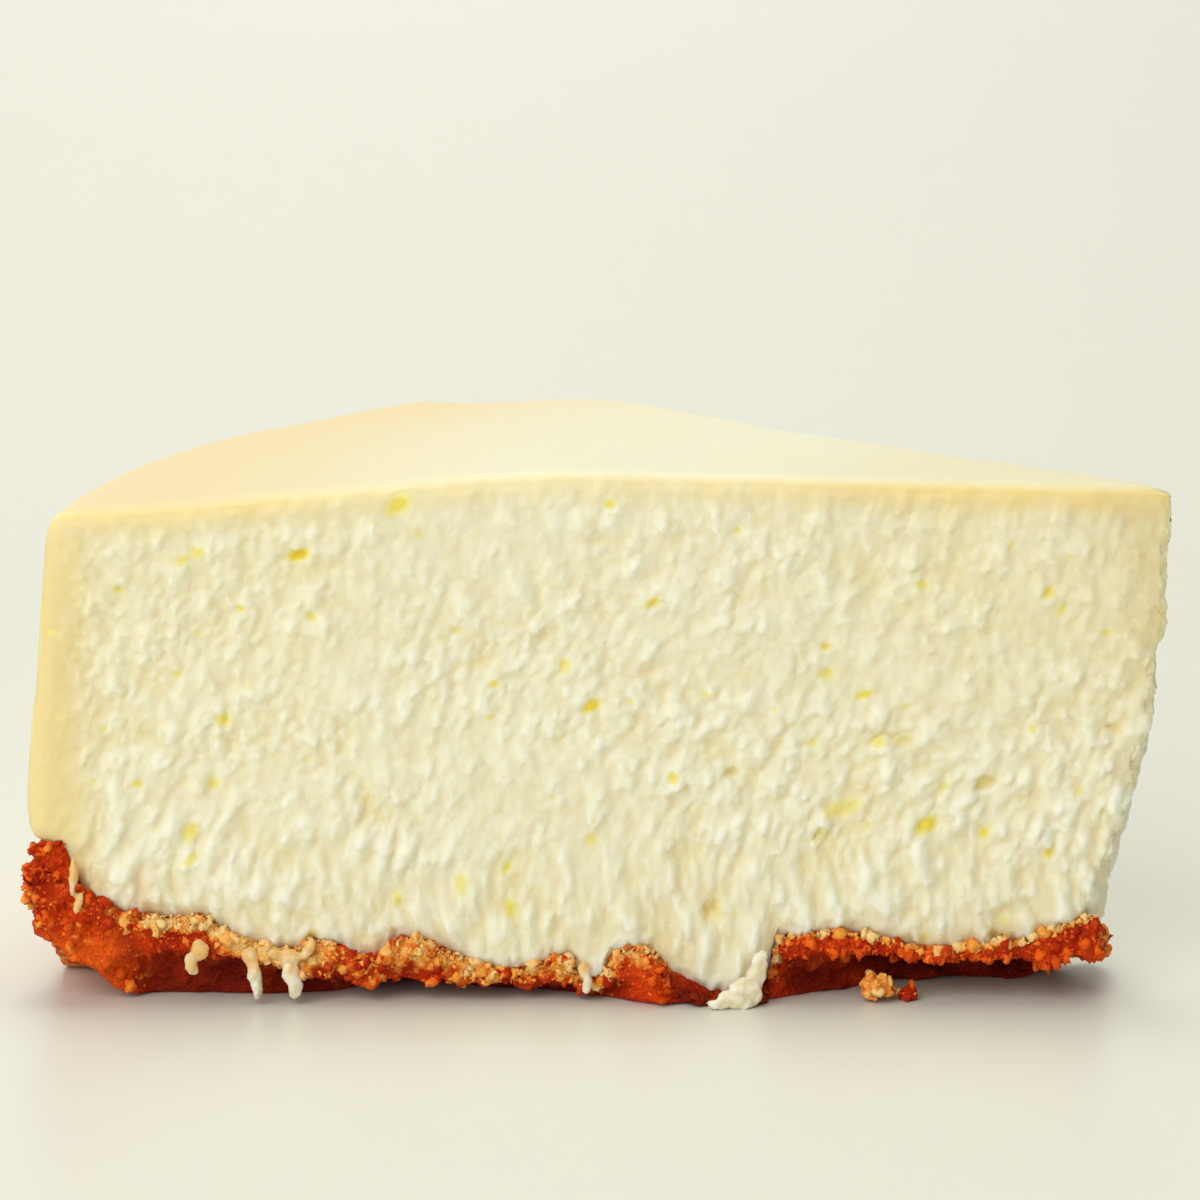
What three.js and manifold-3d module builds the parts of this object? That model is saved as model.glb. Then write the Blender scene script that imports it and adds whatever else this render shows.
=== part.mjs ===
// A slice of baked New York cheesecake on its crumb crust, standing as it was cut from the cake.
// Millimetres, +Z up. The shown cut face looks towards -Y, the tip points towards +X and the rim towards -X.
// The origin is under the middle of the slice, on the surface that it stands on.
import * as THREE from "three";
import { ImprovedNoise } from "three/addons/math/ImprovedNoise.js";
import { mergeVertices } from "three/addons/utils/BufferGeometryUtils.js";
import Module from "manifold-3d";

// The cake: an eighth of a round cake from a 9 inch tin
const CAKE_RADIUS = 114.3;
const SLICE_ANGLE = THREE.MathUtils.degToRad(45);

// The top: lower at the rim, highest half way in, a little lower at the tip and higher towards the far cut
const TOP_CREST = 53.5;
const TOP_DROP_AT_RIM = 3.2;
const TOP_DROP_AT_TIP = 1.1;
const FAR_RISE = [0.4, 2.4];
const FAR_RISE_BAND = [50, 85];
const RIM_DROP_BAND = [62, 104];
const TIP_DROP_BAND = [0, 48];
const TOP_WAVE = 0.35;
const TOP_WAVE_LENGTH = 34;
const SHOULDER_RADIUS = 2.8;
const SHOULDER_HOLD = 8;

// The side: the filling shrank from the tin above the crust wall
const SIDE_INSET = 0.2;
const SIDE_SHRINK = 2.8;
const SIDE_SHRINK_BAND = [18, 48];

// The crust: a pressed base with a low wall round the rim
const CRUST_BASE = 5.2;
const BASE_UNEVEN = 0.5;
const BASE_UNEVEN_LENGTH = 9;
const WALL_HEIGHT = 15.6;
const WALL_THICK = 4.6;
const WALL_EDGE_THICK = 3.4;
const WALL_EDGE_ROUND = 1.1;
const WALL_UNEVEN = 1.3;
const WALL_UNEVEN_LENGTH = 8.5;
const CORNER_FILLET = 3.2;
const CORNER_FILLET_FADE = 2.6;
const INNER_WALL_UNEVEN = 0.5;
const INNER_WALL_UNEVEN_LENGTH = 4;
const PIECE_GAP = 0.3;

// The tip: worn back, more so towards the plate
const TIP_WEAR_AT_TOP = 0.7;
const TIP_WEAR_UPPER = 2.1;
const TIP_WEAR_LOWER = 3.7;
const TIP_UPPER_BAND = [35, 50];
const TIP_LOWER_BAND = [14, 29];
const TIP_RAGGED = 0.5;
const TIP_RAGGED_LENGTH = 3.1;
const TIP_RAGGED_STOPS = [44, 52];
const CRUST_BEHIND_TIP = 0.2;

// The torn cut faces: slow waves of the knife, and lumps of curd drawn out along the cut
const KNIFE_WAVE = 0.45;
const KNIFE_WAVE_LENGTH = 26;
const CURD_DEPTH = 0.85;
const CURD_WIDTH = 4.4;
const CURD_STRETCH = 2.1;
const CURD_SLANT = 0.35;
const CURD_MEAN = 0.25;
const SMALL_CURD_SHARE = 0.5;
const SMALL_CURD_SCALE = 1.9;
const SMOOTH_BAND_AT_TOP = 4.5;
const SMOOTH_BAND_AT_RIM = 5.5;
const CURD_FADE_UPWARDS = [1.15, 0.7];
const CURD_FADE_BAND = [5, 45];

// The shown cut's lower edge, as [distance from the cake's centre, height of the crust there]
const SHOWN_CRUST_LINE = [
  [0, 9.6],
  [7, 9.9],
  [11.5, 7.4],
  [24, 5.4],
  [32, 7.0],
  [39, 6.4],
  [42.7, 1.0],
  [47, 1.8],
  [54.2, 5.4],
  [58.4, 2.0],
  [60.5, 4.3],
  [66.2, 2.9],
  [77.2, 6.4],
  [80.3, 4.3],
  [85.2, 6.2],
  [88.3, 4.9],
  [97, 7.4],
  [104, 7.9],
];
const THINNEST_CRUST = 0.9;
const CUT_LINE_DEPTH = 4.5;
const FAR_LINE_RISE = 0.5;
const FAR_LINE_UNEVEN = 1.7;
const FAR_LINE_LENGTH = 6.5;

// Where the crust's foot has crumbled away under the cuts: [from, to, how deep, how high]
const SHOWN_UNDERCUTS = [
  [6, 39, 8.5, 4.2],
  [47, 55, 1.8, 2.0],
  [60, 91, 5.5, 2.6],
  [91, 106, 4.8, 4.6],
];
const FAR_UNDERCUTS = [
  [12, 34, 3.0, 2.6],
  [52, 70, 2.2, 2.0],
  [84, 103, 3.4, 2.8],
];
const UNDERCUT_END_FADE = 1.5;
const UNDERCUT_ROOF_SHARE = 0.45;
const UNDERCUT_UNEVEN = 0.3;
const CRAG = 0.45;
const CRAG_LENGTH = 1.8;

// The broken foot at the rim corner of the shown cut, the lifted tip, and the foot before it is cut level
const CORNER_BREAK_WIDE = 9;
const CORNER_BREAK_HIGH = 7.4;
const CORNER_BREAK_DEEP = [2.8, 14];
const TIP_LIFT = 2.6;
const TIP_LIFT_BAND = [10, 30];
const FOOT_BELOW_PLATE = 0.8;
const FOOT_LOWEST = 1.5;
const FOOT_UNEVEN = 0.9;
const FOOT_UNEVEN_LENGTH = 5;
const PLATE_SLAB = 20;

// The crumbs that stand out of the crust
const CRUMB_RADIUS = [0.9, 1.9];
const WALL_CRUMB_RADIUS = [0.9, 1.5];
const CRUMB_UNEVEN = 0.38;
const CRUMB_STEP_ON_CUTS = 4.3;
const CRUMB_STEP_ON_WALL = 5.4;
const CRUMBS_FROM_TIP = 9;
const CRUMBS_FROM_RIM = 4;
const THIN_CRUST = 3;
const WALL_CRUMB_HEIGHTS = [3, 10.5];
const STRAY_CRUMB = { rho: 29.5, depth: 2.6, radius: 2.3 };

// The grids: steps along the slice, across it and up it
const FILLING_GRID = [42, 8, 20];
const SHOULDER_STEPS = 3;
const CRUST_GRID = [48, 10, 4];
const CRUST_BASE_SHARE = 0.88;
const CRUST_INTO_FILLING = 0.7;
const MOST_TEAR_SHARE = 0.42;

// Each uneven surface has a layer of the noise to itself
const LAYER = {
  top: 1,
  base: 2,
  farLine: 3,
  wall: 4,
  innerWall: 5,
  tip: 6,
  knife: 7,
  curd: 9,
  smallCurd: 11,
  undercut: 13,
  crag: 14,
  foot: 15,
};

const wasm = await Module();
wasm.setup();
const noise = new ImprovedNoise();
const { lerp, clamp, smoothstep } = THREE.MathUtils;

// Smooth relief between about -1 and 1 from two coordinates, in the noise layer given.
function relief(a, b, layer) {
  return noise.noise(a, b, layer * 3.7 + 0.4);
}

// A repeatable draw between two values.
let seed = 20240611;
function draw(from, to) {
  seed = (seed * 1664525 + 1013904223) % 4294967296;
  return lerp(from, to, seed / 4294967296);
}

// The height of the baked top at a distance from the centre, for a share of the slice's angle.
function topHeight(rho, share) {
  const rimDrop = TOP_DROP_AT_RIM * smoothstep(rho, ...RIM_DROP_BAND);
  const tipDrop = TOP_DROP_AT_TIP * (1 - smoothstep(rho, ...TIP_DROP_BAND));
  const wave = TOP_WAVE * relief(rho / TOP_WAVE_LENGTH, (share * CAKE_RADIUS) / TOP_WAVE_LENGTH, LAYER.top);
  const farRise = lerp(...FAR_RISE, smoothstep(rho, ...FAR_RISE_BAND));
  return TOP_CREST - rimDrop - tipDrop + farRise * share + wave;
}

// The crust line of the shown cut, a smooth curve through its stations.
const shownLine = new THREE.SplineCurve(SHOWN_CRUST_LINE.map(([rho, z]) => new THREE.Vector2(rho, z)));
const shownLinePoints = shownLine.getPoints(SHOWN_CRUST_LINE.length * 12);
function shownCrustLine(rho) {
  const next = shownLinePoints.findIndex((point) => point.x >= rho);
  if (next < 0) return shownLinePoints.at(-1).y;
  if (next === 0) return shownLinePoints[0].y;
  const before = shownLinePoints[next - 1];
  const after = shownLinePoints[next];
  return lerp(before.y, after.y, (rho - before.x) / (after.x - before.x));
}

// The height where crust meets filling, away from the wall. Each cut's own line fades into the slice.
function interfaceHeight(rho, phi) {
  const nearDepth = rho * Math.sin(phi);
  const farDepth = rho * Math.sin(SLICE_ANGLE - phi);
  const across = (CAKE_RADIUS * phi) / BASE_UNEVEN_LENGTH;
  const inside = CRUST_BASE + BASE_UNEVEN * relief(rho / BASE_UNEVEN_LENGTH, across, LAYER.base);
  const farUneven = FAR_LINE_UNEVEN * relief(rho / FAR_LINE_LENGTH, 0.4, LAYER.farLine);
  const farLine = CRUST_BASE + FAR_LINE_RISE + farUneven;
  const nearShare = Math.exp(-((nearDepth / CUT_LINE_DEPTH) ** 2));
  const farShare = Math.exp(-((farDepth / CUT_LINE_DEPTH) ** 2)) * (1 - nearShare);
  const height = inside + nearShare * (shownCrustLine(rho) - inside) + farShare * (farLine - inside);
  return Math.max(height, THINNEST_CRUST);
}

// The height of the crust wall's upper edge round the rim.
function wallHeight(phi) {
  return WALL_HEIGHT + WALL_UNEVEN * relief((phi * CAKE_RADIUS) / WALL_UNEVEN_LENGTH, 0.7, LAYER.wall);
}

// How far back from the cake's centre the tip is worn, at a height.
function tipWear(z) {
  const upper = TIP_WEAR_UPPER * (1 - smoothstep(z, ...TIP_UPPER_BAND));
  const lower = TIP_WEAR_LOWER * (1 - smoothstep(z, ...TIP_LOWER_BAND));
  const ragged = TIP_RAGGED * relief(z / TIP_RAGGED_LENGTH, 0.2, LAYER.tip);
  return TIP_WEAR_AT_TOP + upper + lower + ragged * (1 - smoothstep(z, ...TIP_RAGGED_STOPS));
}

// The outer radius of the filling: inside the crust wall low down, the shrunken side above it.
function fillingRim(z, phi) {
  const side = CAKE_RADIUS - SIDE_INSET - SIDE_SHRINK * smoothstep(z, ...SIDE_SHRINK_BAND);
  const wall = wallHeight(phi);
  const wallThick = lerp(WALL_THICK, WALL_EDGE_THICK, clamp(z / wall, 0, 1));
  const fillet = CORNER_FILLET * Math.exp(-Math.max(z - CRUST_BASE, 0) / CORNER_FILLET_FADE);
  const across = (phi * CAKE_RADIUS) / INNER_WALL_UNEVEN_LENGTH;
  const uneven = INNER_WALL_UNEVEN * relief(z / INNER_WALL_UNEVEN_LENGTH, across, LAYER.innerWall);
  const inWall = CAKE_RADIUS - wallThick - fillet + uneven;
  return lerp(inWall, side, smoothstep(z, wall - 1, wall + 1));
}

// How deep curd is torn out of a cut face, positive into the slice. The cuts are numbered 0 and 1.
function curdTear(rho, z, cut) {
  const wave = KNIFE_WAVE * relief(rho / KNIFE_WAVE_LENGTH, z / KNIFE_WAVE_LENGTH, LAYER.knife + cut);
  const across = (rho + CURD_SLANT * z) / CURD_WIDTH;
  const up = z / CURD_WIDTH;
  const lumps = relief(across, up / CURD_STRETCH, LAYER.curd + cut);
  const small = SMALL_CURD_SHARE * relief(across * SMALL_CURD_SCALE, up, LAYER.smallCurd + cut);
  const belowTop = smoothstep(TOP_CREST - z, 0, SMOOTH_BAND_AT_TOP);
  const insideRim = smoothstep(CAKE_RADIUS - rho, 0, SMOOTH_BAND_AT_RIM);
  const fade = lerp(...CURD_FADE_UPWARDS, smoothstep(z, ...CURD_FADE_BAND));
  return wave + CURD_DEPTH * (CURD_MEAN + lumps + small) * belowTop * insideRim * fade;
}

// How deep the crust's foot has crumbled away under a cut.
function footUndercut(rho, z, undercuts) {
  let deepest = 0;
  for (const [from, to, depth, high] of undercuts) {
    const begins = smoothstep(rho, from - UNDERCUT_END_FADE, from + UNDERCUT_END_FADE);
    const ends = 1 - smoothstep(rho, to - UNDERCUT_END_FADE, to + UNDERCUT_END_FADE);
    const under = 1 - smoothstep(z, high * UNDERCUT_ROOF_SHARE, high);
    deepest = Math.max(deepest, depth * begins * ends * under);
  }
  return deepest * (1 + UNDERCUT_UNEVEN * relief(rho / FOOT_UNEVEN_LENGTH, z / 2, LAYER.undercut));
}

// A point of the slice from its distance from the centre, its height, and its place between the two cuts.
function slicePoint(rho, z, share, nearTear, farTear) {
  const arc = rho * SLICE_ANGLE;
  const near = Math.min(nearTear, arc * MOST_TEAR_SHARE);
  const far = Math.min(farTear, arc * MOST_TEAR_SHARE);
  return cakePoint(rho, (near + (arc - near - far) * share) / rho, z);
}

function cakePoint(rho, phi, z) {
  return new THREE.Vector3(-rho * Math.cos(phi), rho * Math.sin(phi), z);
}

// A geometry with its corners shared, as a closed mesh needs.
function sharedCorners(geometry) {
  geometry.deleteAttribute("normal");
  geometry.deleteAttribute("uv");
  return mergeVertices(geometry, 1e-4);
}

// A closed block of grid cells, with each point of its skin placed by a function of its three shares.
function mappedBlock([along, across, up], place) {
  const block = sharedCorners(new THREE.BoxGeometry(1, 1, 1, along, across, up));
  const position = block.getAttribute("position");
  for (let i = 0; i < position.count; i++) {
    const point = place(position.getX(i) + 0.5, position.getY(i) + 0.5, position.getZ(i) + 0.5);
    position.setXYZ(i, point.x, point.y, point.z);
  }
  return block;
}

// A closed mesh as a solid for cutting and joining. Its faces may be listed either way round.
function solidFrom(geometry) {
  const triangles = new Uint32Array(geometry.index.array);
  const corners = new Float32Array(geometry.getAttribute("position").array);
  const mesh = { numProp: 3, vertProperties: corners };
  const closed = (triVerts) => new wasm.Manifold(new wasm.Mesh({ ...mesh, triVerts }));
  const solid = closed(triangles);
  if (solid.volume() > 0) return solid;
  return closed(triangles.map((_, i) => triangles[i - (i % 3) + [0, 2, 1][i % 3]]));
}

function largestPiece(solid) {
  return solid.decompose().reduce((a, b) => (b.volume() > a.volume() ? b : a));
}

function geometryFrom(solid) {
  const mesh = solid.getMesh();
  const corners = new Float32Array(mesh.numVert * 3);
  for (let i = 0; i < mesh.numVert; i++) {
    corners.set(mesh.vertProperties.subarray(i * mesh.numProp, i * mesh.numProp + 3), i * 3);
  }
  const geometry = new THREE.BufferGeometry();
  geometry.setAttribute("position", new THREE.BufferAttribute(corners, 3));
  geometry.setIndex(new THREE.BufferAttribute(new Uint32Array(mesh.triVerts), 1));
  geometry.computeVertexNormals();
  return geometry;
}

// The share of the way from rim to tip, with the first few steps kept for the rounded shoulder.
function shareFromRim(step) {
  const kept = SHOULDER_STEPS / FILLING_GRID[0];
  const shoulder = SHOULDER_RADIUS / CAKE_RADIUS;
  return step < kept ? (shoulder * step) / kept : lerp(shoulder, 1, (step - kept) / (1 - kept));
}

// How far the rounded shoulder drops below the top, at a distance in from the rim.
function shoulderDrop(fromRim) {
  const intoRound = clamp(1 - fromRim / SHOULDER_RADIUS, 0, 1);
  return SHOULDER_RADIUS * (1 - Math.sqrt(1 - intoRound ** 2));
}

// The filling, grown by a clearance below and at the sides where it is used to trim the crust.
function fillingBlock(clearance) {
  return solidFrom(
    mappedBlock(FILLING_GRID, (step, share, up) => {
      const u = shareFromRim(step);
      const phi = share * SLICE_ANGLE;
      const firstRho = lerp(CAKE_RADIUS, TIP_WEAR_AT_TOP, u);
      const firstZ = lerp(interfaceHeight(firstRho, phi), topHeight(firstRho, share), up) - clearance;
      const rim = fillingRim(firstZ + clearance, phi) + clearance;
      const tip = tipWear(firstZ) - clearance;
      const rho = lerp(rim, tip, u);
      const floor = interfaceHeight(rho, phi) - clearance;
      const z = lerp(floor, topHeight(rho, share), up) - shoulderDrop(rim - rho) * up ** SHOULDER_HOLD;
      return slicePoint(rho, z, share, curdTear(rho, z, 0) - clearance, curdTear(rho, z, 1) - clearance);
    }),
  );
}

// How high the foot is off the plate: at the broken rim corner of the shown cut, and towards the tip.
function footLift(rho, phi) {
  const outwards = smoothstep(rho, CAKE_RADIUS - CORNER_BREAK_WIDE, CAKE_RADIUS + 1);
  const inwards = 1 - smoothstep(rho * Math.sin(phi), ...CORNER_BREAK_DEEP);
  return CORNER_BREAK_HIGH * outwards * inwards + TIP_LIFT * (1 - smoothstep(rho, ...TIP_LIFT_BAND));
}

// The crust as an L-shaped strip: along the base from the tip to the corner, then up the wall.
// Its inner side reaches a little into the filling, and is trimmed to it afterwards.
function crustBlock() {
  return solidFrom(
    mappedBlock(CRUST_GRID, (step, share, thickness) => {
      const phi = share * SLICE_ANGLE;
      const alongBase = Math.min(step / CRUST_BASE_SHARE, 1);
      const upWall = Math.max(step - CRUST_BASE_SHARE, 0) / (1 - CRUST_BASE_SHARE);
      const wall = wallHeight(phi);
      const tip = tipWear(0) + CRUST_BEHIND_TIP;

      const innerCorner = CAKE_RADIUS - WALL_THICK - CORNER_FILLET;
      const innerEdge = CAKE_RADIUS - WALL_EDGE_THICK - CRUST_INTO_FILLING;
      const innerRho = lerp(lerp(tip, innerCorner, alongBase), innerEdge, Math.sqrt(upWall));
      const innerFloor = interfaceHeight(Math.min(innerRho, innerCorner), phi) + CRUST_INTO_FILLING;
      const innerZ = lerp(innerFloor, wall, upWall);

      const outerRho = lerp(tip, CAKE_RADIUS, alongBase) - WALL_EDGE_ROUND * upWall ** 6;
      const across = (phi * CAKE_RADIUS) / FOOT_UNEVEN_LENGTH;
      const uneven = FOOT_UNEVEN * relief(outerRho / FOOT_UNEVEN_LENGTH, across, LAYER.foot);
      const foot = Math.max(uneven - FOOT_BELOW_PLATE, -FOOT_LOWEST) + footLift(outerRho, phi);
      const outerZ = lerp(foot, wall - WALL_EDGE_ROUND, upWall);

      const rho = lerp(outerRho, innerRho, thickness);
      const z = lerp(outerZ, innerZ, thickness);
      const crag = CRAG * relief(rho / CRAG_LENGTH, z / CRAG_LENGTH, LAYER.crag);
      const nearTear = footUndercut(rho, z, SHOWN_UNDERCUTS) + crag;
      const farTear = footUndercut(rho, z, FAR_UNDERCUTS) - crag;
      return slicePoint(rho, z, share, nearTear, farTear);
    }),
  );
}

// One crumb: a lump with uneven corners, larger by a margin where it makes its own pocket.
function crumb({ rho, phi, z, radius }, margin, key) {
  const lump = sharedCorners(new THREE.IcosahedronGeometry(1, 0));
  const position = lump.getAttribute("position");
  const centre = cakePoint(rho, phi, z);
  const corner = new THREE.Vector3();
  for (let i = 0; i < position.count; i++) {
    corner.fromBufferAttribute(position, i);
    const uneven = 1 + CRUMB_UNEVEN * relief(corner.x * 1.3 + key, corner.y * 1.3 - key, corner.z);
    corner.multiplyScalar(radius * uneven + margin).add(centre);
    position.setXYZ(i, corner.x, corner.y, corner.z);
  }
  return solidFrom(lump);
}

// Where crumbs stand out along one cut, a little below the crust line. The thinnest crust has none.
function crumbsAlongCut(cut) {
  const places = [];
  const last = CAKE_RADIUS - CRUMBS_FROM_RIM;
  for (let rho = CRUMBS_FROM_TIP; rho < last; rho += CRUMB_STEP_ON_CUTS * draw(0.75, 1.25)) {
    const radius = draw(...CRUMB_RADIUS);
    const inset = (draw(0.1, 0.7) * radius) / rho;
    const phi = cut ? SLICE_ANGLE - inset : inset;
    const line = interfaceHeight(rho, phi);
    const z = Math.max(line - radius * draw(0.1, 1.5), radius);
    if (line > THIN_CRUST) places.push({ rho, phi, z, radius });
  }
  return places;
}

// Where crumbs stand out of the wall's upper edge and of its outer face.
function crumbsOnWall() {
  const places = [];
  const step = CRUMB_STEP_ON_WALL / CAKE_RADIUS;
  for (let phi = step / 2; phi < SLICE_ANGLE - step / 2; phi += step * draw(0.8, 1.2)) {
    const edge = draw(...WALL_CRUMB_RADIUS);
    places.push({ rho: CAKE_RADIUS - edge, phi, z: wallHeight(phi) - edge * draw(0.5, 1.1), radius: edge });
    const face = draw(...WALL_CRUMB_RADIUS);
    const z = draw(...WALL_CRUMB_HEIGHTS);
    places.push({ rho: CAKE_RADIUS - face, phi: phi + step * draw(0.3, 0.5), z, radius: face });
  }
  return places;
}

// The stray crumb that leans on the foot of the shown cut.
function strayCrumb() {
  const { rho, depth, radius } = STRAY_CRUMB;
  return { rho, phi: depth / rho, z: radius, radius };
}

// Everything below the surface that the slice stands on.
function belowPlate() {
  const slab = new THREE.BoxGeometry(4 * CAKE_RADIUS, 4 * CAKE_RADIUS, PLATE_SLAB);
  slab.translate(0, 0, -PLATE_SLAB / 2);
  return solidFrom(sharedCorners(slab));
}

const crumbPlaces = [...crumbsAlongCut(0), ...crumbsAlongCut(1), ...crumbsOnWall()];

function fillingSolid() {
  const pockets = crumbPlaces.map((place, key) => crumb(place, PIECE_GAP, key));
  return largestPiece(pockets.reduce((left, pocket) => left.subtract(pocket), fillingBlock(0)));
}

function crustSolid() {
  const crumbs = [...crumbPlaces, strayCrumb()].map((place, key) => crumb(place, 0, key));
  const trimmed = crustBlock().subtract(fillingBlock(PIECE_GAP));
  return largestPiece(crumbs.reduce((sum, one) => sum.add(one), trimmed).subtract(belowPlate()));
}

const curdFinish = new THREE.MeshStandardMaterial({ color: 0xebe5c0, roughness: 0.55, metalness: 0 });
const crumbFinish = new THREE.MeshStandardMaterial({ color: 0xb9602f, roughness: 0.8, metalness: 0 });

const filling = new THREE.Mesh(geometryFrom(fillingSolid()), curdFinish);
filling.name = "filling";
const crust = new THREE.Mesh(geometryFrom(crustSolid()), crumbFinish);
crust.name = "crust";

const slice = new THREE.Group();
slice.add(filling, crust);
const bounds = new THREE.Box3().setFromObject(slice);
const middle = bounds.getCenter(new THREE.Vector3());
slice.position.set(-middle.x, -middle.y, -bounds.min.z);

export default slice;
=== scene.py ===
# %% [markdown]
# # A slice of New York cheesecake
#
# The slice is two foods. A tall block of pale baked curd stands in a tray of pressed biscuit crumb.
# Two of its sides are cuts, and a knife tears curd more than it cuts it, so they are rough.
# The top and the rim were baked against air and tin, so they are smooth.
#
# The CAD frame already holds both foods at their real size. It is loaded first and never moved,
# and everything made here lies in the same place, in metres.

# %% Load the frame
import math
import random
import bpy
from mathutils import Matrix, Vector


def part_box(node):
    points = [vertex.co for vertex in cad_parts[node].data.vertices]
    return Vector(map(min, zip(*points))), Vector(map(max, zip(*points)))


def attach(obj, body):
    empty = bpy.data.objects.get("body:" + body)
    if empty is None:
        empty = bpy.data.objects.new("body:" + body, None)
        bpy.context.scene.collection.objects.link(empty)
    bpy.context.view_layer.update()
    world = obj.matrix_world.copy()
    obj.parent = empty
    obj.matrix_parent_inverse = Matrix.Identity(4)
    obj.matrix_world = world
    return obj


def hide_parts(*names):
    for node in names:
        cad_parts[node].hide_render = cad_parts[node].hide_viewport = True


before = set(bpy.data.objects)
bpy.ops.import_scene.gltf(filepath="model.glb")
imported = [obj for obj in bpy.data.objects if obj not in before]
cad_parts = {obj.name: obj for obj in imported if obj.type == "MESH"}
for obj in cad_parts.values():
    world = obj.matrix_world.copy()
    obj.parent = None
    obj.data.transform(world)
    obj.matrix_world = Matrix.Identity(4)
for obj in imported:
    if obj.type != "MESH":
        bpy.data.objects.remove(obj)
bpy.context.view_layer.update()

from types import SimpleNamespace

import bpy
from mathutils import Vector

filling_low, filling_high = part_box("filling")
crust_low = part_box("crust")[0]

# %% [markdown]
# ## The slice's own places
#
# A slice is easiest to describe from the middle of the cake that it came from. In the frame that
# point is just past the tip. From there, each point has a distance out, an angle and a height.

# %% Driving sizes
MM = 0.001
CAKE_RADIUS = 114.3 * MM
SLICE_ANGLE = math.radians(45)
PAST_TIP = 0.5 * MM
BEHIND_CUT = 0.64 * MM
CENTRE = Vector((filling_high.x + PAST_TIP, filling_low.y + BEHIND_CUT, crust_low.z))
TOP = 53.5 * MM
BASE = 5.2 * MM
WALL_TOP = 15.8 * MM
NEAR_OUT = Vector((0, -1, 0))
FAR_OUT = Vector((math.sin(SLICE_ANGLE), math.cos(SLICE_ANGLE), 0))
TIP_LINE = Vector((-math.cos(SLICE_ANGLE / 2), math.sin(SLICE_ANGLE / 2), 0))
random.seed(41)
print("middle of the cake at", [round(1000 * v, 1) for v in CENTRE], "mm")

# %% [markdown]
# ## The camera
#
# The photo looks straight at the cut from a long way off, a little from above, so the top shows as
# a thin band. A short lens close by would make the far rim shrink and the slice look like a toy,
# so the camera stands back with 105 mm.

# %% Camera
EYE = CENTRE + Vector((-57.2 * MM, -340.6 * MM, 95.9 * MM))
LOOK_DOWN = 0.160
LENS, SENSOR = 105, 36
bpy.ops.object.camera_add(location=EYE, rotation=(math.pi / 2 - LOOK_DOWN, 0, 0))
camera = bpy.context.object
camera.name = "view"
camera.data.lens = LENS
camera.data.sensor_width = SENSOR
camera.data.clip_start = 0.01
bpy.context.scene.camera = camera
print("camera", round(1000 * (CENTRE.y - EYE.y)), "mm in front of the cut")

# %% [markdown]
# ## Hand tools
#
# All shapes start as primitives and are worked in edit mode. Blender's operators act on everything
# selected, so these helpers clear the selection first and then pick what the next tool acts on.

# %% Picking by place
def only(piece):
    """Makes one object the only selected one, in object mode."""
    if bpy.context.object and bpy.context.object.mode != "OBJECT":
        bpy.ops.object.mode_set(mode="OBJECT")
    bpy.ops.object.select_all(action="DESELECT")
    piece.select_set(True)
    bpy.context.view_layer.objects.active = piece


def pick(piece, kind="FACE", wanted=lambda face: True):
    """Enters edit mode with the corners, edges or faces for which wanted() holds."""
    only(piece)
    mesh = piece.data
    for group in (mesh.vertices, mesh.edges, mesh.polygons):
        group.foreach_set("select", [False] * len(group))
    if kind == "VERT":
        for corner in mesh.vertices:
            corner.select = wanted(corner.co)
    if kind == "EDGE":
        for edge in mesh.edges:
            edge.select = wanted(*(mesh.vertices[i].co for i in edge.vertices))
    if kind == "FACE":
        for face in mesh.polygons:
            face.select = wanted(face)
    bpy.ops.object.mode_set(mode="EDIT")
    bpy.ops.mesh.select_mode(type=kind)


def done(piece):
    """Back to object mode, with the object's place moved into its mesh."""
    bpy.ops.object.mode_set(mode="OBJECT")
    only(piece)
    bpy.ops.object.transform_apply(location=True, rotation=True, scale=True)
    return piece


# %% Cutting, modifiers and shading
CUT_CLOSE = 1e-6
SAME_PLACE = 1e-5


def cut(piece, point, outwards, cut_off=True):
    """Cuts with a flat knife, and throws away the side that the arrow points to."""
    pick(piece)
    bpy.ops.mesh.bisect(
        plane_co=point, plane_no=outwards.normalized(), use_fill=cut_off, clear_outer=cut_off,
        threshold=CUT_CLOSE,
    )
    done(piece)


def apply_modifier(piece, kind, name, **settings):
    only(piece)
    modifier = piece.modifiers.new(name, kind)
    for key, value in settings.items():
        setattr(modifier, key, value)
    bpy.ops.object.modifier_apply(modifier=modifier.name)


def count(piece):
    """Prints how many triangles a piece has."""
    triangles = sum(len(face.vertices) - 2 for face in piece.data.polygons)
    print(f"{piece.name}: {triangles} triangles")


def finished(piece):
    """Shades a piece softly, as its shape is done."""
    only(piece)
    bpy.ops.object.shade_smooth()
    count(piece)


# %% [markdown]
# ## Formulas as nodes
#
# The torn curd and the crumb are far too fine to push by hand, so Geometry Nodes move the points
# of a fine mesh by layered noise. Materials use the same maths nodes. A Wire is the output of one
# node, and adding or multiplying two wires adds the node that does so. New nodes go into Wire.tree.

# %% Wires
class Wire:
    """The output of a node, for use in formulas as a number or a vector."""

    tree = None

    def __init__(self, socket):
        self.socket = socket

    def __getitem__(self, output):
        """Another output of the same node, by its name or number."""
        return Wire(self.socket.node.outputs[output])

    def __add__(self, other):
        return formula("ADD", self, other)

    def __sub__(self, other):
        return formula("SUBTRACT", self, other)

    def __rsub__(self, other):
        return formula("SUBTRACT", other, self)

    def __mul__(self, other):
        return formula("MULTIPLY", self, other)

    def __truediv__(self, number):
        return self * (1 / number)

    __radd__ = __add__
    __rmul__ = __mul__


# %% Adding nodes
def feed(socket, value):
    """Joins a socket to a wire, or sets it to a plain value."""
    if isinstance(value, Wire):
        Wire.tree.links.new(value.socket, socket)
    else:
        socket.default_value = value


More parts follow.
